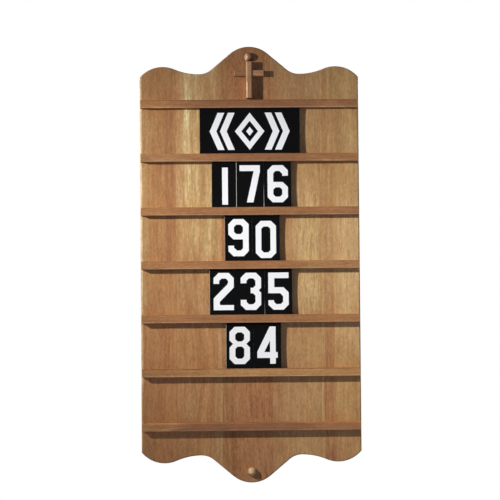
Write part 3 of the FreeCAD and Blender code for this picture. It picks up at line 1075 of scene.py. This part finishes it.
@dataclass
class Panel:
    """Five upright staves, glued edge to edge."""

    finishes: dict[str, WoodFinish] = field(default_factory=dict)

    def __post_init__(self) -> None:
        """Chooses each stave's wood."""
        self.saw(1, (203, 155, 104), (188, 136, 87), (166, 113, 72), seed=1.3, pith=(0.26, 0.10, 0.0),
                 lean=(0.0, 1.6), ring=4.6, figure=0.7,
                 # The first two stripes are a painted highlight along the stave's left edge, which faces
                 # the lamp
                 stripes=(Stripe(-228.3, 5.8, LIT_EDGE_CREAM, 0.95, 0.8, 0.0, low=-240, fade=60),
                          Stripe(-229.0, 4.5, STRAW, 0.9, 0.8, 0.0, high=-240, fade=60),
                          Stripe(-221.0, 11, SAND, 0.8, 3.0, 5.0, low=-60, high=300),
                          Stripe(-218.0, 16, COPPER, 0.9, 4.0, 5.0, low=330, fade=40),
                          Stripe(-220.0, 12, TAWNY, 0.85, 3.0, 5.0, high=-60),
                          Stripe(-200.0, 44, TAWNY, 0.8, 10.0, 5.0, low=0, fade=120),
                          Stripe(-190.0, 26, AMBER, 0.9, 6.0, 6.0, low=330, fade=40),
                          Stripe(-170.0, 19, CHESTNUT, 0.95, 5.0, 14.0, low=25, high=330),
                          Stripe(-192.0, 84, GINGER, 0.9, 10.0, 0.0, high=-150, fade=110)))
        self.saw(2, (205, 162, 114), (184, 136, 88), (164, 117, 75), seed=2.1, pith=(0.19, 0.13, 0.0),
                 lean=(0.0, -2.2), ring=4.0, figure=0.85,
                 stripes=(Stripe(-106.0, 88, SAND, 0.95, 13.0, 14.0, low=60),
                          Stripe(-130.0, 12, STRAW, 0.95, 4.0, 16.0, low=170, high=320),
                          Stripe(-147.0, 16, AMBER, 1.0, 3.0, 4.0, low=330, fade=40),
                          Stripe(-130.0, 14, HONEY, 0.9, 4.0, 8.0, low=330, fade=40),
                          Stripe(-110.0, 9, HONEY, 1.0, 3.0, 6.0, low=330, fade=40),
                          Stripe(-113.0, 14, HONEY, 0.9, 5.0, 16.0, low=95, high=235),
                          Stripe(-86.0, 17, SAND, 0.9, 6.0, 14.0, low=60, high=250),
                          Stripe(-118.0, 84, AMBER, 0.9, 10.0, 0.0, high=-150, fade=90)))
        self.saw(3, (195, 144, 98), (179, 125, 83), (155, 102, 66), seed=3.7, pith=(0.02, 0.09, 0.0),
                 lean=(0.0, 1.2), ring=3.4, figure=0.8, flecks=0.55, specular=0.1,
                 stripes=(Stripe(-52.0, 15, FAWN, 0.9, 5.0, 8.0),
                          Stripe(-38.0, 10, CHESTNUT, 0.8, 4.0, 10.0, high=-180),
                          Stripe(38.0, 8, COPPER, 1.0, 2.5, 0.0, low=330, fade=40)))
        self.saw(4, (202, 159, 109), (184, 139, 92), (164, 118, 77), seed=4.9, pith=(-0.13, 0.16, 0.0),
                 lean=(0.0, 1.8), ring=3.8, figure=0.8,
                 stripes=(Stripe(54.0, 26, FAWN, 0.9, 10.0, 8.0),
                          Stripe(128.0, 50, SAND, 0.9, 18.0, 8.0, high=330),
                          Stripe(122.0, 60, STRAW, 0.9, 14.0, 10.0, low=-50, high=90),
                          Stripe(144.0, 30, FAWN, 0.8, 8.0, 6.0, high=-390, fade=40)))
        self.saw(5, (210, 170, 114), (194, 151, 98), (173, 128, 81), seed=6.2, pith=(-0.30, 0.11, 0.0),
                 lean=(0.0, -1.4), ring=4.2, figure=0.8,
                 stripes=(Stripe(158.0, 10, FAWN, 0.9, 3.5, 8.0),
                          Stripe(171.0, 7, TAWNY, 0.9, 2.5, 9.0),
                          Stripe(164.0, 22, TAWNY, 0.9, 6.0, 8.0, high=-150),
                          Stripe(192.0, 76, STRAW, 1.0, 12.0, 6.0, low=-110, high=80),
                          Stripe(184.0, 50, FAWN, 0.8, 10.0, 6.0, high=-390, fade=40),
                          Stripe(212.0, 34, HONEY, 0.85, 12.0, 6.0, low=-140),
                          Stripe(190.0, 84, TAWNY, 0.45, 10.0, 0.0, high=-110, fade=100)))

    def saw(self, number: int, pale: tuple, tone: tuple, deep: tuple, **more: object) -> None:
        """Adds one stave's finish, with its glue lines at the node's sides.

        Args:
            number: The stave's number from the left.
            pale: Its palest shade, 0 to 255.
            tone: Its middle shade.
            deep: Its darkest shade.
            more: Other fields of the finish.
        """
        node = f"stave_{number}"
        low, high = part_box(node)
        self.finishes[node] = WoodFinish(f"{node}_wood", paint(*pale), paint(*tone), paint(*deep),
                                         seams=(low.x, high.x), rubbed=0.12, **more)

    def build(self) -> list[str]:
        """Dresses the staves.

        Returns:
            Names of the nodes that were dressed.
        """
        for node, finish in self.finishes.items():
            dress(node, finish.material())
        return list(self.finishes)


@dataclass(frozen=True)
class Strip:
    """The wood of one rail, from its left end to its right end.

    The shade of the left end goes over into the middle's along fade. The shares set painted light and
    shade along its two long edges against the middle: a painted shade under the top edge, where the
    groove lies in shadow, which is lighter instead where the share is above 1, and a painted highlight, a
    pale cool reflection, along the bottom edge.
    """

    left: Colour
    middle: Colour
    right: Colour
    fade: float
    # Painted shade under the top edge, and painted highlight along the bottom edge
    top_edge_shading: float = 0.88
    bottom_edge_highlight: Triple = (1.2, 1.6, 2.4)


@dataclass
class Rails:
    """Seven level rails, each sawn from its own strip."""

    strips: tuple[Strip, ...] = (
        Strip(AMBER, WALNUT, CHESTNUT, 70.0, 0.68, (1.5, 2.2, 3.4)),
        Strip(FAWN, WALNUT, RUSSET, 110.0),
        Strip(RUSSET, UMBER, CHESTNUT, 100.0),
        Strip(RUSSET, UMBER, FAWN, 120.0),
        Strip(RUSSET, UMBER, RUSSET, 75.0),
        Strip(AMBER, TAWNY, TAWNY, 100.0, 0.45),
        Strip(COPPER, WALNUT, CHESTNUT, 45.0, 1.4))
    # Sizes of the painted highlight along the bottom edge and of the painted shade under the top edge
    bottom_highlight_width: float = 1.7
    bottom_highlight_height: float = 1.8
    top_shading_width: float = 2.0
    top_shading_drop: float = 0.8
    end_width: float = 60.0
    left_end: float = 170.0
    right_end: float = -160.0
    right_fade: float = 75.0
    pale_share: float = 1.26
    deep_share: float = 0.72

    def finish(self, number: int) -> WoodFinish:
        """One rail's wood.

        Args:
            number: The rail's number from the top.

        Returns:
            Its finish.
        """
        node, strip = f"rail_{number}", self.strips[number - 1]
        low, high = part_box(node)
        bottom, top = low.z / MM, high.z / MM
        middle = (bottom + top) / 2
        stripes = (Stripe(middle, self.end_width, strip.left, 1.0, 1.0, 0.0, low=self.left_end,
                          fade=strip.fade),
                   Stripe(middle, self.end_width, strip.right, 1.0, 1.0, 0.0, high=self.right_end,
                          fade=self.right_fade),
                   # Painted highlight: a pale, cool line just above the bottom edge
                   Stripe(bottom + self.bottom_highlight_height, self.bottom_highlight_width,
                          toned(strip.middle, *strip.bottom_edge_highlight), 0.9, 0.6, 0.0),
                   # Painted shade: a darker line just under the top edge, lighter where the share is
                   # above 1
                   Stripe(top - self.top_shading_drop, self.top_shading_width,
                          toned(strip.middle, strip.top_edge_shading), 0.85, 0.5, 0.0))
        return WoodFinish(f"{node}_wood", toned(strip.middle, self.pale_share), strip.middle,
                          toned(strip.middle, self.deep_share), Grain.LEVEL, seed=8.0 + 0.83 * number,
                          pith=(0.04 - 0.03 * (number % 3), 0.10 + 0.02 * (number % 2), 0.0),
                          ring=2.6, figure=0.7, rubbed=0.4, stripes=stripes)

    def build(self) -> list[str]:
        """Dresses the rails.

        Returns:
            Names of the nodes that were dressed.
        """
        nodes = [f"rail_{number}" for number in range(1, len(self.strips) + 1)]
        for number, node in enumerate(nodes, start=1):
            dress(node, self.finish(number).material())
        return nodes


@dataclass
class Cross:
    """Half-lapped cross on the top rail."""

    pale: Colour = paint(206, 162, 118)
    tone: Colour = paint(180, 133, 93)
    deep: Colour = paint(154, 108, 72)
    # Colours and sizes of the painted highlight along the upright's left edge, paler below the crossbar
    edge: Colour = paint(226, 184, 138)
    lower_highlight: Colour = paint(236, 192, 144)
    highlight_inset: float = 2.2
    highlight_width: float = 2.8
    lower_highlight_top: float = 392.0
    lower_highlight_fade: float = 10.0
    arm_width: float = 26.0
    arm_start: float = 3.0
    arm_fade: float = 5.0

    def build(self) -> list[str]:
        """Dresses the upright and the crossbar.

        Returns:
            Names of the nodes that were dressed.
        """
        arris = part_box("cross_upright")[0].x / MM + self.highlight_inset
        bar_low, bar_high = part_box("cross_crossbar")
        # Painted highlight along the upright's left edge, which faces the lamp, paler below the crossbar
        edges = (Stripe(arris, self.highlight_width, self.edge, 0.9, 0.6, 0.0),
                 Stripe(arris, self.highlight_width, self.lower_highlight, 0.9, 0.6, 0.0, high=self.lower_highlight_top,
                        fade=self.lower_highlight_fade))
        arm = (Stripe((bar_low.z + bar_high.z) / 2 / MM, self.arm_width, UMBER, 1.0, 1.0, 0.0,
                      low=self.arm_start, fade=self.arm_fade),)
        # The crossbar's strong rubbing is partly wear and partly a painted highlight on the end of its
        # left arm, which faces the lamp
        for node, grain, seed, rubbed, stripes in (("cross_upright", Grain.UPRIGHT, 17.0, 0.5, edges),
                                                   ("cross_crossbar", Grain.LEVEL, 18.1, 0.9, arm)):
            dress(node, WoodFinish(f"{node}_wood", self.pale, self.tone, self.deep, grain, seed=seed,
                                   ring=1.9, figure=0.8, rubbed=rubbed, stripes=stripes).material())
        return ["cross_upright", "cross_crossbar"]


@dataclass
class Plug:
    """Turned plug with a domed head that hides a wall screw."""

    node: str
    seed: float
    pale: tuple[int, int, int]
    tone: tuple[int, int, int]
    deep: tuple[int, int, int]
    grain: Grain = Grain.UPRIGHT
    stripes: tuple[Stripe, ...] = ()
    skirt: float = 1.5
    rim_round: float = 0.5
    tenon_radius: float = 4.75
    tenon_chamfer: float = 0.8
    dome_steps: int = 14
    turns: int = 56

    def turn_shape(self) -> Shape:
        """Turns the plug on its axis, from a profile of a dome, a rim and a tenon.

        Returns:
            The plug's shape.
        """
        low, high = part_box(self.node)
        centre = (low + high) / 2
        radius = (high.x - low.x) / 2
        dome_foot = low.y + radius
        rim = dome_foot + self.skirt * MM
        shape = bmesh.new()
        crown = shape.verts.new((centre.x, low.y, centre.z))
        bmesh.ops.spin(shape, geom=[crown], cent=(centre.x, dome_foot, centre.z), axis=(0.0, 0.0, 1.0),
                       angle=math.pi / 2, steps=self.dome_steps, use_merge=False)
        last = max(shape.verts, key=lambda vert: vert.co.x)
        tenon, chamfer, edge = self.tenon_radius * MM, self.tenon_chamfer * MM, self.rim_round * MM
        for across, deep in ((radius, rim - edge), (radius - edge, rim), (tenon, rim),
                             (tenon, high.y - chamfer), (tenon - chamfer, high.y), (0.0, high.y)):
            vert = shape.verts.new((centre.x + across, deep, centre.z))
            shape.edges.new((last, vert))
            last = vert
        bmesh.ops.spin(shape, geom=shape.verts[:] + shape.edges[:], cent=centre, axis=(0.0, 1.0, 0.0),
                       angle=math.tau, steps=self.turns, use_merge=True)
        bmesh.ops.remove_doubles(shape, verts=shape.verts[:], dist=1e-6)
        bmesh.ops.recalc_face_normals(shape, faces=shape.faces[:])
        return shape

    def build(self) -> bpy.types.Object:
        """Makes and dresses the plug.

        Returns:
            The plug's piece.
        """
        finish = WoodFinish(f"{self.node}_wood", paint(*self.pale), paint(*self.tone), paint(*self.deep),
                            self.grain, seed=self.seed, ring=1.4, figure=0.8, roughness=0.20,
                            specular=0.25, coat=0.0, stripes=self.stripes, rubbed=0.1)
        piece = show(f"{self.node}_turned", self.turn_shape(), finish.material(), smooth=40.0)
        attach(piece, self.node)
        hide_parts(self.node)
        return piece


@dataclass
class Screws:
    """Countersunk wood screws with a cross recess, driven from behind."""

    head_radius: float = 3.5
    shank_radius: float = 1.75
    sink: float = 0.3
    slot_length: float = 2.1
    slot_half_width: float = 0.48
    slot_depth: float = 1.5
    slot_taper: float = 0.55
    rails: int = 7
    rail_inset: float = 40.0
    above_rail_middle: float = 2.1
    tip_cover: float = 4.0
    drawn_length: float = 10.0
    sides: int = 32
    turn_step: float = 37.0

    def places(self) -> list[Triple]:
        """Where each screw stands and how deep it reaches.

        Returns:
            X, Z and the Y of the tip, in metres.
        """
        found = []
        for number in range(1, self.rails + 1):
            low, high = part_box(f"rail_{number}")
            height = (low.z + high.z) / 2 + self.above_rail_middle * MM
            reach = high.x - self.rail_inset * MM
            found += [(x, height, low.y + self.tip_cover * MM) for x in (-reach, reach)]
        bar_low, bar_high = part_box("cross_crossbar")
        post_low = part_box("cross_upright")[0]
        tip = post_low.y + self.tip_cover * MM
        found.append((0.0, (bar_low.z + bar_high.z) / 2, tip))
        found.append((0.0, (post_low.z + bar_low.z) / 2, tip))
        return found

    def one(self) -> Shape:
        """One screw with its head's flat on Y = 0 and a short shank towards -Y.

        Returns:
            The screw's shape.
        """
        shape = bmesh.new()
        head, shank, reach, half = (value * MM for value in (
            self.head_radius, self.shank_radius, self.slot_length, self.slot_half_width))
        round_edge = bmesh.ops.create_circle(shape, cap_ends=False, segments=self.sides,
                                             radius=head)["verts"]
        arm = [(half, half), (half, reach), (-half, reach)]
        corners = [Matrix.Rotation(math.pi / 2 * quarter, 2) @ Vector(point)
                   for quarter in range(4) for point in arm]
        cross = [shape.verts.new((point.x, point.y, 0.0)) for point in corners]
        cross_edges = [shape.edges.new(pair) for pair in zip(cross, cross[1:] + cross[:1])]
        rim_edges = list(dict.fromkeys(edge for vert in round_edge for edge in vert.link_edges))
        bmesh.ops.triangle_fill(shape, use_beauty=True, edges=rim_edges + cross_edges)
        floor = draw_down(shape, cross_edges, self.slot_taper, self.slot_depth * MM)
        neck = draw_down(shape, rim_edges, shank / head, head - shank)
        tip = draw_down(shape, neck, 1.0, self.drawn_length * MM)
        for ring in (floor, tip):
            bmesh.ops.triangle_fill(shape, use_beauty=True, edges=ring)
        bmesh.ops.remove_doubles(shape, verts=shape.verts[:], dist=1e-7)
        bmesh.ops.recalc_face_normals(shape, faces=shape.faces[:])
        bmesh.ops.rotate(shape, verts=shape.verts[:], cent=(0.0, 0.0, 0.0),
                         matrix=Matrix.Rotation(-math.pi / 2, 3, "X"))
        return shape

    def build(self) -> bpy.types.Object:
        """Makes every screw as one piece, each turned to where its driver left it.

        Returns:
            The screws' piece.
        """
        whole = bmesh.new()
        for number, (x, z, tip) in enumerate(self.places()):
            screw = self.one()
            end = min(vert.co.y for vert in screw.verts)
            for vert in screw.verts:
                if vert.co.y < end + 1e-6:
                    vert.co.y = tip + self.sink * MM
            bmesh.ops.rotate(screw, verts=screw.verts[:], cent=(0.0, 0.0, 0.0),
                             matrix=Matrix.Rotation(math.radians(self.turn_step * number), 3, "Y"))
            bmesh.ops.translate(screw, verts=screw.verts[:], vec=(x, -self.sink * MM, z))
            join(whole, screw)
        finish = SteelFinish("zinc_plated_steel", paint(206, 204, 196), paint(140, 134, 120))
        piece = show("wood_screws_driven", whole, finish.material(), smooth=35.0)
        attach(piece, "board")
        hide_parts("wood_screws")
        return piece


@dataclass(frozen=True)
class CardStock:
    """The three materials that every card is made of."""

    core: bpy.types.Material
    face: bpy.types.Material
    ink: bpy.types.Material

    @classmethod
    def make(cls) -> "CardStock":
        """Builds the materials.

        Returns:
            The stock.
        """
        core = SheetFinish("card_core_white", paint(226, 224, 217), paint(196, 188, 172), dusty=0.25,
                           roughness=0.5, specular=0.3)
        face = SheetFinish("card_face_black", paint(11, 11, 12), paint(34, 33, 32), dusty=0.08,
                           roughness=0.52, specular=0.03)
        ink = SheetFinish("card_ink_white", WHITE, paint(247, 247, 246), dusty=0.12, roughness=0.5,
                          specular=0.6)
        return cls(core.material(), face.material(), ink.material())


@dataclass
class Card:
    """One laminated card: a white core between two black faces, with a figure on the front."""

    node: str
    thickness: float = 0.9
    film: float = 0.08
    ink: float = 0.06
    corner: float = 0.35
    bared_top: float = 0.0
    bared_foot: float = 0.0
    slices: int = 16

    def limits(self) -> tuple[Vector, Vector]:
        """Lowest and highest corner of the card's node."""
        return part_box(self.node)

    def bend(self, shape: Shape) -> None:
        """Leans a flat card back in an arc between its foot and its head.

        Args:
            shape: A shape that is built flat, in the plane of the card's ends.
        """
        low, high = self.limits()
        lean = high.y - low.y - self.thickness * MM
        half = (high.z - low.z) / 2
        radius = (half * half + lean * lean) / (2 * lean)
        middle = (low.z + high.z) / 2
        for vert in shape.verts:
            off = vert.co.z - middle
            vert.co.y += math.sqrt(radius * radius - off * off) - (radius - lean)

    def layer(self, front: float, back: float, bared: bool = False) -> Shape:
        """One layer of the card, sliced and bent.

        Args:
            front: Y of its front.
            back: Y of its back.
            bared: Whether its left side is trimmed further, as far as the fields say.

        Returns:
            The layer.
        """
        low, high = self.limits()
        size = Vector((high.x - low.x, back - front, high.z - low.z))
        middle = Vector(((low.x + high.x) / 2, (front + back) / 2, (low.z + high.z) / 2))
        shape = bmesh.new()
        bmesh.ops.create_cube(shape, size=1.0,
                              matrix=Matrix.Translation(middle) @ Matrix.Diagonal((*size, 1.0)))
        corners = [edge for edge in shape.edges
                   if abs(edge.verts[0].co.y - edge.verts[1].co.y) > size.y / 2]
        bmesh.ops.bevel(shape, geom=corners, offset=self.corner * MM, offset_type="OFFSET", segments=3,
                        profile=0.5, affect="EDGES", material=-1)
        slice_level(shape, low.z, high.z, self.slices)
        if bared:
            for vert in shape.verts:
                if vert.co.x < middle.x:
                    up = (vert.co.z - low.z) / (high.z - low.z)
                    trim = self.bared_foot + (self.bared_top - self.bared_foot) * up
                    vert.co.x += max(0.0, trim) * MM
        self.bend(shape)
        return shape

    def figure(self) -> Shape:
        """The printed figure, flat on the plane of the card's front."""
        raise NotImplementedError

    def build(self, stock: CardStock) -> list[bpy.types.Object]:
        """Makes the card's layers and its print.

        Args:
            stock: Materials of the cards.

        Returns:
            The card's pieces.
        """
        low, _ = self.limits()
        front, back, film = low.y, low.y + self.thickness * MM, self.film * MM
        printed = self.figure()
        bmesh.ops.translate(printed, verts=printed.verts[:], vec=(0.0, front, 0.0))
        self.bend(printed)
        core = show(f"{self.node}_core", self.layer(front + film, back - film), stock.core)
        pieces = [core,
                  show(f"{self.node}_front", self.layer(front, front + film, bared=True), stock.face),
                  show(f"{self.node}_back", self.layer(back - film, back), stock.face),
                  show(f"{self.node}_figure", printed, stock.ink)]
        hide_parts(self.node)
        for piece in pieces:
            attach(piece, self.node)
        return pieces


@dataclass
class NumberCard(Card):
    """A card with one numeral."""

    numeral: Numeral = Numeral.NOUGHT
    shift: float = 0.0
    above_foot: float = 12.7

    def figure(self) -> Shape:
        """The numeral, centred on the card and raised by the ink's thickness.

        Returns:
            The numeral's shape.
        """
        low, high = self.limits()
        glyph = self.numeral.value
        left = (low.x + high.x) / 2 + (self.shift - glyph.width / 2) * MM
        return glyph.plate(left, low.z + (self.above_foot + glyph.height) * MM, self.ink * MM)


@dataclass
class HeaderCard(Card):
    """The wide card of the top row, with an ornament of a ringed lozenge between chevrons."""

    figure_height: float = 78.0
    figure_foot: float = 11.0
    lozenge_half: float = 31.0
    lozenge_stroke: float = 13.5
    heart_half_width: float = 7.5
    heart_half_height: float = 9.5
    chevrons: int = 2
    chevron_run: float = 17.0
    chevron_stroke: float = 14.0
    nesting: float = 7.14
    gap: float = 7.5

    def lozenge(self) -> Glyph:
        """Upright lozenge ring.

        Returns:
            The ring.
        """
        tall, wide = self.figure_height / 2, self.lozenge_half
        inner = 1 - self.lozenge_stroke / wide
        def ring(share: float) -> Loop:
            """Loop of a lozenge of that share of the size."""
            return ((wide, tall - tall * share, 0), (wide + wide * share, tall, 0),
                    (wide, tall + tall * share, 0), (wide - wide * share, tall, 0))
        return Glyph(ring(1.0), (ring(inner),))

    def heart(self) -> Glyph:
        """Small solid lozenge for the ring's middle."""
        tall, wide = self.heart_half_height, self.heart_half_width
        return Glyph(((wide, 0, 0), (2 * wide, tall, 0), (wide, 2 * tall, 0), (0, tall, 0)))

    def chevron(self) -> Glyph:
        """Chevron that points left.

        Returns:
            The chevron.
        """
        tall, run, wide = self.figure_height, self.chevron_run, self.chevron_stroke
        return Glyph(((run, 0, 0), (run + wide, 0, 0), (wide, tall / 2, 0), (run + wide, tall, 0),
                      (run, tall, 0), (0, tall / 2, 0)))

    def figure(self) -> Shape:
        """The ornament, mirrored about the card's middle.

        Returns:
            The ornament's shape.
        """
        low, high = self.limits()
        middle = (low.x + high.x) / 2
        top = low.z + (self.figure_foot + self.figure_height) * MM
        chevron = self.chevron()
        parts = [(self.lozenge(), -self.lozenge_half, 0.0),
                 (self.heart(), -self.heart_half_width, self.figure_height / 2 - self.heart_half_height)]
        for index in range(self.chevrons):
            reach = self.lozenge_half + self.gap - self.nesting + index * (self.chevron_stroke + self.gap)
            parts.append((chevron, -reach - chevron.width, 0.0))
            parts.append((chevron.turned(), reach, 0.0))
        whole = bmesh.new()
        for glyph, left, drop in parts:
            join(whole, glyph.plate(middle + left * MM, top - drop * MM, self.ink * MM))
        return whole


@dataclass
class Studio:
    """Camera, lamps, plain floor and white surroundings."""

    camera_place: Triple = (-0.0633, -3.019, -0.0383)
    yaw: float = 1.197
    pitch: float = 1.287
    roll: float = -0.464
    lens: float = 103.06
    key_place: Triple = (-1.16, -0.77, 0.43)
    key_aim: Triple = (-0.275, -0.796, -0.035)
    key_colour: Triple = (1.0, 0.985, 0.95)
    key_power: float = 195.5
    key_cone: float = 112.2
    key_flatness: float = 0.50
    key_twist: float = -21.8
    key_radius: float = 0.03
    back_place: Triple = (1.5, 1.9, 0.9)
    back_power: float = 27.0
    back_size: float = 1.2
    fill: float = 0.12
    fill_colour: Colour = (0.60, 0.80, 1.30, 1.0)
    floor_middle: Triple = (0.0, -0.6, -0.95)
    floor_half: tuple[float, float] = (4.0, 3.0)
    floor_colour: Colour = (0.42, 0.42, 0.42, 1.0)
    floor_glow: float = 0.82

    def camera(self) -> bpy.types.Object:
        """Sets up the camera.

        Returns:
            The camera.
        """
        data = bpy.data.cameras.new("camera")
        data.lens, data.sensor_width = self.lens, 36.0
        data.clip_start, data.clip_end = 0.1, 100.0
        camera = bpy.data.objects.new("camera", data)
        turn = (Matrix.Rotation(math.radians(-self.yaw), 4, "Z")
                @ Matrix.Rotation(math.radians(90.0 + self.pitch), 4, "X")
                @ Matrix.Rotation(math.radians(self.roll), 4, "Z"))
        camera.matrix_world = Matrix.Translation(self.camera_place) @ turn
        bpy.context.scene.collection.objects.link(camera)
        bpy.context.scene.camera = camera
        return camera

    def lamp(self, name: str, kind: str, place: Triple, aim: Triple, power: float, colour: Triple,
             **settings: object) -> bpy.types.Object:
        """Adds a lamp.

        Args:
            name: Its name.
            kind: Its type.
            place: Where it stands.
            aim: The point that it faces.
            power: Power in watts.
            colour: Its colour.
            settings: Other properties of the lamp.

        Returns:
            The lamp.
        """
        data = bpy.data.lights.new(name, kind)
        data.energy, data.color = power, colour
        for key, setting in settings.items():
            setattr(data, key, setting)
        lamp = bpy.data.objects.new(name, data)
        facing = (Vector(aim) - Vector(place)).to_track_quat("-Z", "Y")
        lamp.matrix_world = Matrix.Translation(place) @ facing.to_matrix().to_4x4()
        bpy.context.scene.collection.objects.link(lamp)
        return lamp

    def seen(self, tree: ShaderTree) -> Socket:
        """1 for what the camera, a mirror or glass sees, else 0.

        Args:
            tree: A tree of a material or the world.

        Returns:
            The mask's socket.
        """
        rays = tree.place("ShaderNodeLightPath")
        both = tree.math("MAXIMUM", rays.outputs["Is Camera Ray"], rays.outputs["Is Glossy Ray"])
        return tree.math("MAXIMUM", both, rays.outputs["Is Transmission Ray"])

    def surroundings(self) -> None:
        """Makes a dim cool fill light all round that is seen as white."""
        world = bpy.data.worlds.new("surroundings")
        world.use_nodes = True
        tree = ShaderTree(world.node_tree)
        ground = world.node_tree.nodes["Background"]
        seen = self.seen(tree)
        strength = tree.math("MULTIPLY_ADD", seen, 1.0 - self.fill, self.fill)
        tree.fill(ground, {"Color": tree.mix(seen, self.fill_colour, WHITE), "Strength": strength})
        bpy.context.scene.world = world

    def floor(self) -> None:
        """Lays the pale floor below the board."""
        shape = bmesh.new()
        bmesh.ops.create_grid(shape, x_segments=1, y_segments=1, size=1.0,
                              matrix=Matrix.Translation(self.floor_middle)
                              @ Matrix.Diagonal((*self.floor_half, 1.0, 1.0)))
        material = bpy.data.materials.new("plain_floor")
        material.use_nodes = True
        tree = ShaderTree(material.node_tree)
        shader = material.node_tree.nodes["Principled BSDF"]
        tree.fill(shader, {"Base Color": self.floor_colour, "Roughness": 0.9, "Specular IOR Level": 0.1,
                           "Emission Color": WHITE,
                           "Emission Strength": tree.math("MULTIPLY", self.seen(tree), self.floor_glow)})
        show("floor", shape, material)

    def build(self) -> None:
        """Sets up the whole studio."""
        bpy.context.scene.view_settings.view_transform = "Standard"
        self.camera()
        self.surroundings()
        self.floor()
        key = self.lamp("key", "SPOT", self.key_place, self.key_aim, self.key_power, self.key_colour,
                        spot_size=math.radians(self.key_cone), spot_blend=1.0,
                        shadow_soft_size=self.key_radius)
        key.matrix_world = (key.matrix_world @ Matrix.Rotation(math.radians(self.key_twist), 4, "Z")
                            @ Matrix.Diagonal((1.0, self.key_flatness, 1.0, 1.0)))
        across, behind, above = self.back_place
        for name, side in (("back_left", -across), ("back_right", across)):
            self.lamp(name, "AREA", (side, behind, above), (0.0, 0.0, 0.0), self.back_power, WHITE[:3],
                      shape="DISK", size=self.back_size)


def number_cards() -> list[NumberCard]:
    """Every number card, row by row: its place, its numeral, and how that is set and trimmed.

    Returns:
        The cards.
    """
    rows = (("1_left", Numeral.ONE, 2.4, 8.6, 0.15, 0.1),
            ("1_middle", Numeral.SEVEN, -0.2, 13.1, 0.7, 0.72),
            ("1_right", Numeral.SIX, 0.7, 12.9, -0.6, 0.65),
            ("2_left", Numeral.NINE, 0.25, 12.8, 0.25, 0.3),
            ("2_right", Numeral.NOUGHT, -0.15, 8.7, 0.0, 0.0),
            ("3_left", Numeral.TWO, 0.9, 12.7, 0.45, 0.35),
            ("3_middle", Numeral.THREE, 0.1, 12.7, 0.0, 0.0),
            ("3_right", Numeral.FIVE, 0.2, 12.7, -0.6, 0.3),
            ("4_left", Numeral.EIGHT, -0.1, 12.3, 0.6, 0.4),
            ("4_right", Numeral.FOUR, 0.3, 12.3, 0.0, 0.0))
    return [NumberCard(f"card_{place}", numeral=numeral, shift=shift, above_foot=above_foot,
                       bared_top=bared_top, bared_foot=bared_foot)
            for place, numeral, shift, above_foot, bared_top, bared_foot in rows]


def plugs() -> list[Plug]:
    """Both plugs, each with the shades of its own wood and with painted light and shade on its dome.

    Returns:
        The plugs.
    """
    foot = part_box("bottom_plug")[0].z / MM
    return [Plug("top_plug", 21.4, (204, 150, 108), (178, 122, 84), (146, 94, 62),
                 # Painted highlight on the dome's left, which faces the lamp, and painted shade on its
                 # right
                 stripes=(Stripe(-6.5, 6.0, paint(250, 214, 168), 1.0, 1.2, 0.0),
                          Stripe(6.5, 8.0, paint(122, 78, 52), 1.0, 1.5, 0.0))),
            Plug("bottom_plug", 23.9, (246, 216, 168), (228, 188, 136), (196, 150, 98), Grain.LEVEL,
                 # Painted shade on the lower part of the dome
                 (Stripe(foot + 3.5, 8.0, paint(142, 94, 52), 1.0, 1.8, 0.0),))]


def main() -> None:
    """Builds the studio and every sub-assembly, and logs each piece that it makes."""
    logging.basicConfig(level=logging.INFO, format="%(name)s: %(message)s")
    Studio().build()
    for assembly in (Panel(), Rails(), Cross()):
        for node in assembly.build():
            LOG.info("dressed %s", node)
    for plug in plugs():
        LOG.info("turned %s", plug.build().name)
    LOG.info("drove %s", Screws().build().name)
    stock = CardStock.make()
    for card in (HeaderCard("header_card"), *number_cards()):
        for piece in card.build(stock):
            LOG.info("made %s with %d faces", piece.name, len(piece.data.polygons))


if __name__ == "__main__":
    main()
